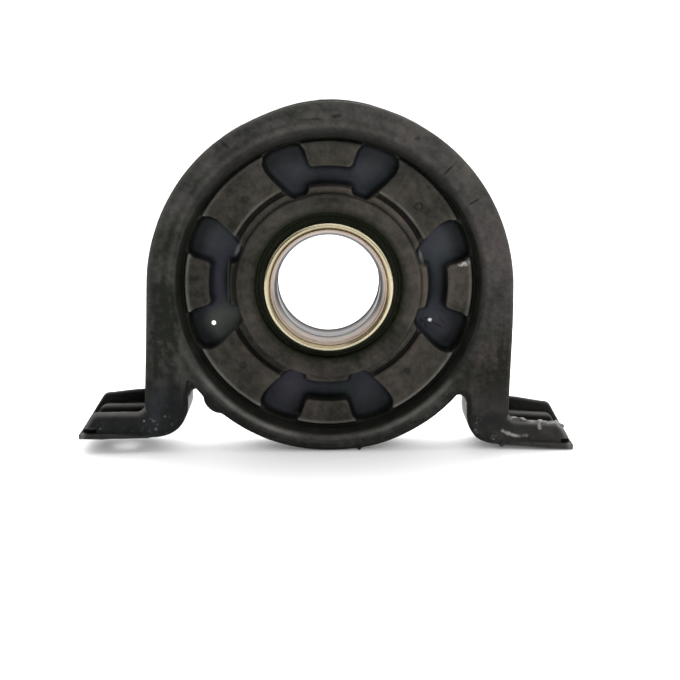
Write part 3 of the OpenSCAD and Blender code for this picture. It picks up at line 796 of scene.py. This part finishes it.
def rubber_material():
    m = Mat("rubber_moulded")
    m.set(Metallic=0.0, Specular_IOR_Level=0.08)
    # dark at 0, light brown at 1: the rubber's brown bloom mixed with painted shade and painted light
    tone = m.math("ADD", m.attr("tone"), m.span(m.noise(24, 6, 0.66), -0.22, 0.22, 0.38, 0.62))
    tone = m.math("ADD", tone, m.span(m.noise(210, 4, 0.7), -0.13, 0.15, 0.36, 0.64))
    streak = m.span(m.noise(130, 3, 0.6, stretch=(1, 1, 0.07)), -0.16, 0.2, 0.36, 0.64)
    tone = m.math("ADD", tone, m.math("MULTIPLY", streak, m.attr("leg")))
    # faint moulding ridges on the left of the arch, drawn as bands of painted light and shade, and a painted highlight
    # along the outer edge
    rings = m.profile(m.radius(), 0.088, 0.108, [(0.0905, 0.5), (0.0910, 0.40), (0.0930, 0.64), (0.0945, 0.48), (0.0960, 0.28),
                                                 (0.0982, 0.56), (0.0996, 0.60), (0.1020, 0.44), (0.1046, 0.66), (0.1062, 0.58)])
    tone = m.math("ADD", tone, m.math("MULTIPLY", m.span(rings, -0.36, 0.36), m.span(m.attr("right"), 1.0, 0.3)))
    ring_marks = m.profile(m.radius(), 0.0895, 0.0995, [(0.0902, 0.5), (0.0910, 0.66), (0.0916, 0.40), (0.0923, 0.62), (0.0930, 0.36), (0.0938, 0.60), (0.0945, 0.42),
                                                  (0.0953, 0.66), (0.0960, 0.38), (0.0969, 0.60), (0.0976, 0.36), (0.0985, 0.58)])
    ring_marks = m.math("MULTIPLY", m.span(ring_marks, -0.55, 0.55), m.span(m.noise(45, 4, 0.6), 0.1, 1.0, 0.38, 0.6))
    tone = m.math("ADD", tone, m.math("MULTIPLY", ring_marks, m.attr("low_ring")))
    # dark drag marks across the upper right of the arch, a dent and a rub on the crown
    for x, z, along, length, width, depth in (
            (82.6, 51.6, 32, 11, 1.8, 0.45), (67.4, 69.8, 46, 12, 1.6, 0.45), (2.6, 98.6, 8, 7, 3.4, 0.5),
            (-12.0, 96.4, 4, 18, 1.8, 0.28), (48.6, 86.8, 30, 4, 3.0, 0.3), (-60.6, 80.6, -40, 10, 2.2, 0.3),
            (101.0, -38.0, 95, 10, 4.0, 0.3), (94.0, -58.0, 40, 12, 7.0, 0.2)):
        tone = m.math("SUBTRACT", tone, m.span(m.spot(x, z, along, length, width), 0.0, depth, 0.0, 0.6))
    col = m.ramp(tone, [(0.0, (0.0112, 0.0125, 0.0095)), (0.45, (0.0435, 0.0420, 0.0390)), (1.0, (0.0900, 0.0790, 0.0690))])
    col = m.mix(m.attr("pad"), col, m.mix(1.0, col, (1.03, 0.95, 0.86), "MULTIPLY"))
    tint = m.noise(16, 3, 0.5, distort=0.6)
    col = m.mix(m.span(tint, 0.0, 0.5, 0.52, 0.66), col, m.mix(1.0, col, (1.10, 0.99, 1.08), "MULTIPLY"))
    col = m.mix(m.span(tint, 0.35, 0.0, 0.36, 0.48), col, m.mix(1.0, col, (0.93, 1.02, 0.90), "MULTIPLY"))
    col = m.mix(m.span(m.spot(97.0, -50.0, 78, 66, 34), 0.0, 0.9, 0.05, 0.5), col, m.mix(1.0, col, (1.13, 0.97, 0.93), "MULTIPLY"))
    fleck = m.math("MULTIPLY", m.span(m.noise(380, 4, 0.7), 0.0, 0.22, 0.56, 0.72), m.attr("leg"))
    col = m.mix(fleck, col, (0.12, 0.115, 0.11))
    low = low_leg_colour(m)
    col = m.mix(m.span(m.attr("low_leg"), 0.0, 0.97), col, low)
    # pocket floors: painted shade near their walls and a painted bluish sheen in their middles
    shine = m.math("ADD", m.span(m.attr("middle"), 0.0, 0.55), m.span(m.noise(34, 5, 0.6), -0.05, 0.4, 0.38, 0.62))
    pock = m.ramp(shine, [(0.0, (0.0055, 0.0072, 0.0066)), (0.5, (0.0215, 0.0240, 0.0290)), (1.0, (0.0400, 0.0440, 0.0530))])
    pock = m.mix(m.span(tint, 0.0, 0.7, 0.50, 0.64), pock, m.mix(1.0, pock, (1.12, 0.98, 1.12), "MULTIPLY"))
    pock = m.mix(m.span(tint, 0.8, 0.0, 0.36, 0.50), pock, m.mix(1.0, pock, (0.90, 1.05, 0.88), "MULTIPLY"))
    # lighter patches in the pockets, painted highlights at the upper lobes' inner ends and along the left neck's edge,
    # dark scratches and one painted glint
    for x, z, along, length, width, tone2, colour in (
            (-60.6, -26.1, 20, 34, 30, 0.92, (0.062, 0.069, 0.061)), (-62.5, 27.0, 60, 28, 18, 0.6, (0.038, 0.044, 0.052)),
            (65.5, 25.0, 120, 32, 24, 0.75, (0.047, 0.053, 0.063)), (-59.3, -0.6, 90, 34, 2.4, 0.85, (0.10, 0.11, 0.105)), (-54.0, 18.9, 67, 12, 3.2, 0.95, (0.17, 0.18, 0.165)),
            (54.6, 15.4, 103, 13, 3.2, 0.95, (0.17, 0.18, 0.165)), (66.2, -24.8, -25, 10, 1.4, 0.8, (0.006, 0.007, 0.007)),
            (69.0, -22.4, -40, 6, 1.2, 0.6, (0.007, 0.008, 0.008)), (40.0, 70.6, 95, 6, 1.6, 0.7, (0.13, 0.13, 0.13)),
            (-14.0, -80.6, 4, 14, 3.0, 0.7, (0.10, 0.10, 0.115)), (61.3, -21.7, 0, 3.2, 2.8, 1.0, (0.95, 0.95, 0.95))):
        pock = m.mix(m.span(m.spot(x, z, along, length, width), 0.0, tone2, 0.05, 0.5), pock, colour)
    # the pockets run out into the groove beside the ring, darkened there with painted shade, and the right one is
    # scuffed round its hole
    ends = m.profile(m.radius(), 0.070, 0.088, [(0.0730, 0.0), (0.0765, 0.44), (0.0780, 0.66), (0.0800, 0.84), (0.0830, 0.88), (0.0860, 0.88)])
    pock = m.mix(m.math("MULTIPLY", ends, m.attr("ends")), pock, (0.0045, 0.0050, 0.0052))
    scuff = m.math("MULTIPLY", m.span(m.spot(58.8, -22.6, -30, 19, 11), 0.0, 0.85, 0.05, 0.5), m.span(m.noise(520, 4, 0.7), 0.0, 1.0, 0.44, 0.60))
    pock = m.mix(m.math("MULTIPLY", scuff, m.span(m.spot(61.3, -21.7, 0, 3.4, 3.0), 1.0, 0.0, 0.0, 0.1)), pock, (0.0070, 0.0080, 0.0095))
    col = m.mix(m.attr("pocket"), col, pock)
    # painted highlight along convex edges, kept off the bottom of the legs
    sharp = m.math("MULTIPLY", m.span(m.attr("edge"), 0.0, 0.30, 0.40, 1.0), m.span(m.attr("low_leg"), 1.0, 0.0))
    col = m.mix(sharp, col, (0.115, 0.105, 0.096))
    # painted shade over the rim's roll-over, darkest at its inner edge
    roll = m.profile(m.radius(), 0.0850, 0.0940, [(0.0865, 0.07), (0.0880, 0.17), (0.0890, 0.30), (0.0900, 0.42), (0.0910, 0.54), (0.0920, 0.74), (0.0934, 0.98)])
    col = m.mix(m.attr("roll"), col, m.mix(1.0, col, roll, "MULTIPLY"))
    # painted shade on the inner wall of the ring's rim
    col = m.mix(m.attr("wall"), col, m.ramp(m.noise(90, 4, 0.6), [(0.35, (0.0085, 0.0098, 0.0068)), (0.65, (0.0165, 0.0170, 0.0132))]))
    # painted highlight along the ring's crest
    col = m.mix(m.math("MULTIPLY", m.attr("crest"), m.span(m.noise(30, 4, 0.6), 0.45, 0.95, 0.36, 0.6)), col, (0.185, 0.176, 0.163))
    # painted highlight on the pads' outer bevel
    col = m.mix(m.math("MULTIPLY", m.attr("bevel"), m.span(m.noise(45, 3, 0.6), 0.6, 1.0, 0.36, 0.6)), col, (0.36, 0.36, 0.325))
    # painted highlight on the upper pads' inner lip
    col = m.mix(m.math("MULTIPLY", m.attr("lip"), m.span(m.noise(40, 3, 0.6), 0.25, 0.75, 0.36, 0.6)), col, (0.15, 0.14, 0.125))
    # torn corner of the right pad
    corner = m.math("MULTIPLY", m.span(m.spot(79.4, 14.6, 13, 10.5, 3.6), 0.0, 1.0, 0.1, 0.6), m.span(m.noise(620, 4, 0.7), 0.0, 1.0, 0.40, 0.56))
    col = m.mix(m.math("MULTIPLY", corner, m.attr("pad")), col, (0.42, 0.41, 0.385))
    # painted shade in creases
    col = m.mix(m.span(m.attr("crease"), 0.0, 0.8, 0.12, 0.9), col, (0.0058, 0.0064, 0.0050))
    col = m.mix(m.span(m.attr("border"), 0.0, 0.88), col, (0.0060, 0.0066, 0.0056))
    # painted shade in the recess round the hub's inner edge
    col = m.mix(m.attr("recess"), col, (0.0075, 0.0100, 0.0034))
    m.color(col)
    ro = m.span(m.noise(150, 4, 0.6), 0.52, 0.72, 0.3, 0.7)
    m.rough(m.math("SUBTRACT", ro, m.span(m.attr("pocket"), 0.0, 0.22)))
    m.bump(m.noise(900, 3, 0.6), 0.16, 0.0004)
    m.bump(m.noise(170, 4, 0.55), 0.22, 0.0008)
    return m.m


def steel_material():
    m = Mat("black_coated_steel")
    m.set(Metallic=0.0, Specular_IOR_Level=0.08)
    col = low_leg_colour(m)
    # painted shade inside the channel
    col = m.mix(m.span(m.attr("inside"), 0.0, 0.8), col, (0.0046, 0.0052, 0.0044))
    # painted highlight along the ledge
    col = m.mix(m.span(m.attr("ledge"), 0.0, 0.8), col, (0.150, 0.145, 0.135))
    # painted highlight on the front flange's rolled top edge
    col = m.mix(m.math("MULTIPLY", m.attr("rim"), m.span(m.noise(50, 4, 0.6), 0.6, 0.95, 0.36, 0.6)), col, (0.135, 0.128, 0.118))
    # painted highlight on convex edges, then painted shade in creases
    col = m.mix(m.span(m.attr("edge"), 0.0, 0.4, 0.35, 1.0), col, (0.105, 0.102, 0.097))
    col = m.mix(m.span(m.attr("crease"), 0.0, 0.85, 0.15, 0.9), col, (0.0032, 0.0036, 0.0030))
    # painted shade along the lower outline
    col = m.mix(m.span(m.attr("border"), 0.0, 0.85), col, (0.0060, 0.0066, 0.0058))
    # painted reflection on the web's inner faces
    col = m.mix(m.attr("web"), col, m.ramp(m.noise(50, 3, 0.5), [(0.35, (0.22, 0.225, 0.22)), (0.65, (0.30, 0.30, 0.295))]))
    # painted shade in the gap
    col = m.mix(m.attr("gap"), col, (0.0016, 0.0018, 0.0015))
    torn = m.math("MULTIPLY", m.attr("bare"), m.span(m.noise(300, 4, 0.7), 0.10, 0.85, 0.37, 0.58))
    grit = m.math("MULTIPLY", m.attr("grit"), m.span(m.noise(330, 3, 0.6), 0.0, 0.45, 0.58, 0.72))
    col = m.mix(m.math("MAXIMUM", torn, grit), col, (0.34, 0.335, 0.325))
    m.color(col)
    m.rough(m.span(m.noise(120, 4, 0.6), 0.38, 0.6, 0.3, 0.7))
    m.bump(m.noise(500, 4, 0.6), 0.18, 0.0006)
    m.bump(m.noise(140, 4, 0.6), 0.25, 0.0008)
    return m.m


def zinc_material():
    m = Mat("yellow_zinc_plate")
    m.set(Metallic=1.0)
    # yellow chromate colour across the rolled rim, with a painted cream highlight over its crown and painted shade
    # towards its inner and outer edges
    col = m.profile(m.radius(), 0.0335, 0.0385, [(0.0340, (0.31, 0.240, 0.160)), (0.0344, (0.33, 0.262, 0.172)), (0.0350, (0.37, 0.308, 0.20)), (0.0356, (0.43, 0.37, 0.24)),
                                                 (0.0364, (0.53, 0.478, 0.33)), (0.0373, (0.575, 0.53, 0.38)), (0.0378, (0.40, 0.36, 0.24))])
    shade = m.ramp(m.noise(40, 4, 0.6), [(0.35, (0.80, 0.79, 0.77)), (0.65, (1.0, 1.0, 1.0))])
    m.color(m.mix(1.0, col, shade, "MULTIPLY"))
    m.rough(m.span(m.noise(260, 3, 0.5), 0.18, 0.30, 0.3, 0.7))
    m.bump(m.noise(700, 2, 0.5), 0.05, 0.0002)
    return m.m


def ring_material():
    m = Mat("ground_bearing_steel")
    m.set(Metallic=1.0)
    col = m.ramp(m.noise(120, 4, 0.6), [(0.3, (0.395, 0.328, 0.286)), (0.7, (0.460, 0.384, 0.332))])
    # the bore wall is darker and mostly non-metallic: painted shade inside the bore
    wall = m.ramp(m.noise(160, 5, 0.6), [(0.3, (0.142, 0.138, 0.130)), (0.62, (0.174, 0.169, 0.160)), (0.75, (0.120, 0.117, 0.111))])
    col = m.mix(m.attr("bore"), col, wall)
    # two small nicks at the far end of the bore
    far = m.profile(m.depth(), 0.002, 0.012, [(0.0045, 0.0), (0.0055, 1.0), (0.0092, 1.0)])
    for nx, nz in ((-7.4, -29.1), (9.6, -28.4)):
        col = m.mix(m.math("MULTIPLY", m.span(m.spot(nx, nz, 0, 0.7, 1.6), 0.0, 0.9, 0.2, 0.6), far), col, (0.02, 0.02, 0.02))
    # painted shade along the edge where the lead-in meets the bore, wider over the upper half, and a brown stain beside
    # the flinger
    line = m.profile(m.radius(), 0.0295, 0.0320, [(0.03001, 0.0), (0.03006, 0.9), (0.0304, 0.8), (0.0308, 0.0)])
    broad = m.profile(m.radius(), 0.0295, 0.0325, [(0.03001, 0.0), (0.03006, 1.0), (0.0313, 1.0), (0.0316, 0.5), (0.0320, 0.0)])
    line = m.math("MAXIMUM", line, m.math("MULTIPLY", broad, m.attr("upper")))
    col = m.mix(line, col, (0.026, 0.025, 0.030))
    m.set(Specular_IOR_Level=0.16)
    m.link(m.math("MULTIPLY", m.span(line, 1.0, 0.2), m.span(m.attr("bore"), 1.0, 0.08)), m.b.inputs["Metallic"])
    stain = m.profile(m.radius(), 0.0315, 0.0345, [(0.0322, 0.0), (0.0331, 0.40), (0.0336, 0.8)])
    m.color(m.mix(stain, col, (0.30, 0.230, 0.165)))
    m.rough(m.span(m.noise(60, 3, 0.5, stretch=(1, 30, 1)), 0.22, 0.36, 0.3, 0.7))
    m.bump(m.noise(40, 2, 0.5, stretch=(1, 40, 1)), 0.03, 0.0002)
    return m.m


def bright_material(name, lo, hi, r0, r1):
    m = Mat(name)
    m.set(Metallic=1.0)
    m.color(m.ramp(m.noise(120, 4, 0.6), [(0.3, lo), (0.7, hi)]))
    m.rough(m.span(m.noise(60, 3, 0.5, stretch=(1, 30, 1)), r0, r1, 0.3, 0.7))
    m.bump(m.noise(40, 2, 0.5, stretch=(1, 40, 1)), 0.03, 0.0002)
    return m.m


def seal_material():
    m = Mat("olive_seal_rubber")
    m.set(Metallic=0.0, Specular_IOR_Level=0.1)
    m.color(m.ramp(m.noise(110, 4, 0.6), [(0.3, (0.0060, 0.0080, 0.0026)), (0.7, (0.0125, 0.0150, 0.0060))]))
    m.rough(m.span(m.noise(200, 3, 0.5), 0.35, 0.5, 0.3, 0.7))
    m.bump(m.noise(600, 2, 0.5), 0.05, 0.0002)
    return m.m


def dress(ob, mat):
    ob.data.materials.clear()
    ob.data.materials.append(mat)


RUBBER, STEEL, ZINC = rubber_material(), steel_material(), zinc_material()
GROUND = ring_material()
CAGE = bright_material("pressed_cage_steel", (0.42, 0.40, 0.36), (0.55, 0.53, 0.48), 0.3, 0.45)
BALL = bright_material("polished_ball_steel", (0.68, 0.68, 0.69), (0.76, 0.76, 0.77), 0.06, 0.12)
SEAL = seal_material()

for ob, mat, body, node, slot in (
        (rubber, RUBBER, "support", "rubber_cushion", "rubber"),
        (bracket, STEEL, "support", "bracket", "black_steel"),
        (front_seal, SEAL, "support", "front_seal", "seal_rubber"),
        (rear_seal, SEAL, "support", "rear_seal", "seal_rubber"),
        (inner_ring, GROUND, "shaft_side", "bearing_inner_ring", "bearing_steel"),
        (front_flinger, ZINC, "shaft_side", "front_flinger", "yellow_zinc"),
        (rear_flinger, ZINC, "shaft_side", "rear_flinger", "yellow_zinc")):
    dress(ob, mat)
    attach(ob, body)
    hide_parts(node)

dress(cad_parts["bearing_outer_ring"], GROUND)
for name in ("cage_front_half", "cage_rear_half", "cage_rivets"):
    dress(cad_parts[name], CAGE)
for i in range(1, 13):
    dress(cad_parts["ball_%02d" % i], BALL)

# ------------------------------------------------------------------ floor, light and camera
tilt = math.atan((RING_R + FOOT_Z - 0.7) / (FOOT_END + SIDE))
fx, fy = 6.0, 5.0
n_x, n_y = 24, 20
gx = np.linspace(-fx, fx, n_x + 1) * 1000
gw = np.linspace(-fy, fy, n_y + 1) * 1000
mx, mw = np.meshgrid(gx, gw, indexing="ij")
mz = -RING_R - 0.1 + mx * math.tan(tilt)
fv = np.stack([mx.ravel(), mz.ravel(), mw.ravel()], 1)
ids = np.arange((n_x + 1) * (n_y + 1)).reshape(n_x + 1, n_y + 1)
fq = np.stack([ids[:-1, :-1], ids[:-1, 1:], ids[1:, 1:], ids[1:, :-1]], 2).reshape(-1, 4)
floor = new_object("studio_floor", fv, fq)
fm = Mat("pale_floor")
far = fm.t.nodes.new("ShaderNodeVectorMath")
far.operation = "LENGTH"
fm.link(fm.co.outputs["Object"], far.inputs[0])
spread = fm.math("ADD", fm.span(far.outputs["Value"], 0.0, 1.0, 0.25, 2.2), fm.span(fm.noise(3, 2, 0.5), -0.02, 0.02))
fm.color(fm.ramp(spread, [(0.0, (0.92, 0.92, 0.92)), (1.0, (0.90, 0.90, 0.90))]))
fm.set(Roughness=0.55, Specular_IOR_Level=0.2, Emission_Color=(1, 1, 1, 1), Emission_Strength=0.12)   # lit from below, like a light table
dress(floor, fm.m)


def area(name, loc, aim, size, power, col=(1, 1, 1)):
    d = bpy.data.lights.new(name, "AREA")
    d.shape = "RECTANGLE"
    d.size, d.size_y = size
    d.energy = power
    d.color = col
    ob = bpy.data.objects.new(name, d)
    bpy.context.scene.collection.objects.link(ob)
    fwd = (np.array(aim, float) - np.array(loc, float))
    fwd /= np.linalg.norm(fwd)
    up = np.array([0, 0, 1.0]) if abs(fwd[2]) < 0.95 else np.array([0, 1.0, 0])
    right = np.cross(fwd, up)
    right /= np.linalg.norm(right)
    up = np.cross(right, fwd)
    mtx = Matrix.Identity(4)
    for i in range(3):
        mtx[i][0], mtx[i][1], mtx[i][2], mtx[i][3] = right[i], up[i], -fwd[i], loc[i]
    ob.matrix_world = mtx
    return ob


area("key_light", (0.25, -0.85, 0.65), (0, 0, 0), (1.2, 0.8), 3.85)
area("right_light", (0.60, -0.38, 0.30), (0.05, 0, 0), (0.25, 0.6), 0.7)
area("top_light", (0.0, -0.12, 0.75), (0, 0, 0), (0.6, 0.3), 0.7)

# bright backdrop behind the part, dimmer room in front of it
world = bpy.data.worlds.new("studio_world")
world.use_nodes = True
wt = world.node_tree
wn = wt.nodes
sep = wn.new("ShaderNodeSeparateXYZ")
wt.links.new(wn.new("ShaderNodeTexCoord").outputs["Generated"], sep.inputs["Vector"])
grad = wn.new("ShaderNodeMapRange")
lift = wn.new("ShaderNodeMapRange")
for node, vals in ((grad, (-0.35, 0.45, 0.09, 1.0)), (lift, (0.05, 0.9, 1.25, 4.0))):
    for key, val in zip(("From Min", "From Max", "To Min", "To Max"), vals):
        node.inputs[key].default_value = val
wt.links.new(sep.outputs["Y"], grad.inputs["Value"])
wt.links.new(sep.outputs["Z"], lift.inputs["Value"])
both = wn.new("ShaderNodeMath")
both.operation = "MULTIPLY"
wt.links.new(grad.outputs["Result"], both.inputs[0])
wt.links.new(lift.outputs["Result"], both.inputs[1])
wt.links.new(both.outputs["Value"], wn["Background"].inputs["Strength"])
wn["Background"].inputs["Color"].default_value = (1, 1, 1, 1)
bpy.context.scene.world = world

cam_d = bpy.data.cameras.new("camera")
cam_d.sensor_width = 36.0
cam_d.sensor_fit = "HORIZONTAL"
cam_d.lens = 1136.0 / 680.0 * 36.0
cam_d.shift_x = (340.0 - 336.0) / 680.0
cam_d.shift_y = (275.0 - 340.0) / 680.0
cam_d.clip_start, cam_d.clip_end = 0.02, 50.0
cam = bpy.data.objects.new("camera", cam_d)
bpy.context.scene.collection.objects.link(cam)
yaw, pitch, roll = (math.radians(v) for v in (0.80, 9.41, 1.36))
fwd = np.array([math.sin(yaw) * math.cos(pitch), math.cos(yaw) * math.cos(pitch), -math.sin(pitch)])
right = np.array([math.cos(yaw), -math.sin(yaw), 0.0])
up = np.cross(right, fwd)
r2 = math.cos(roll) * right + math.sin(roll) * up
u2 = -math.sin(roll) * right + math.cos(roll) * up
mtx = Matrix.Identity(4)
for i in range(3):
    mtx[i][0], mtx[i][1], mtx[i][2] = r2[i], u2[i], -fwd[i]
mtx[0][3], mtx[1][3], mtx[2][3] = -0.005, -0.6642, 0.115
cam.matrix_world = mtx
bpy.context.scene.camera = cam

# plain display of the light, as a photograph shows it
bpy.context.scene.view_settings.view_transform = "Standard"
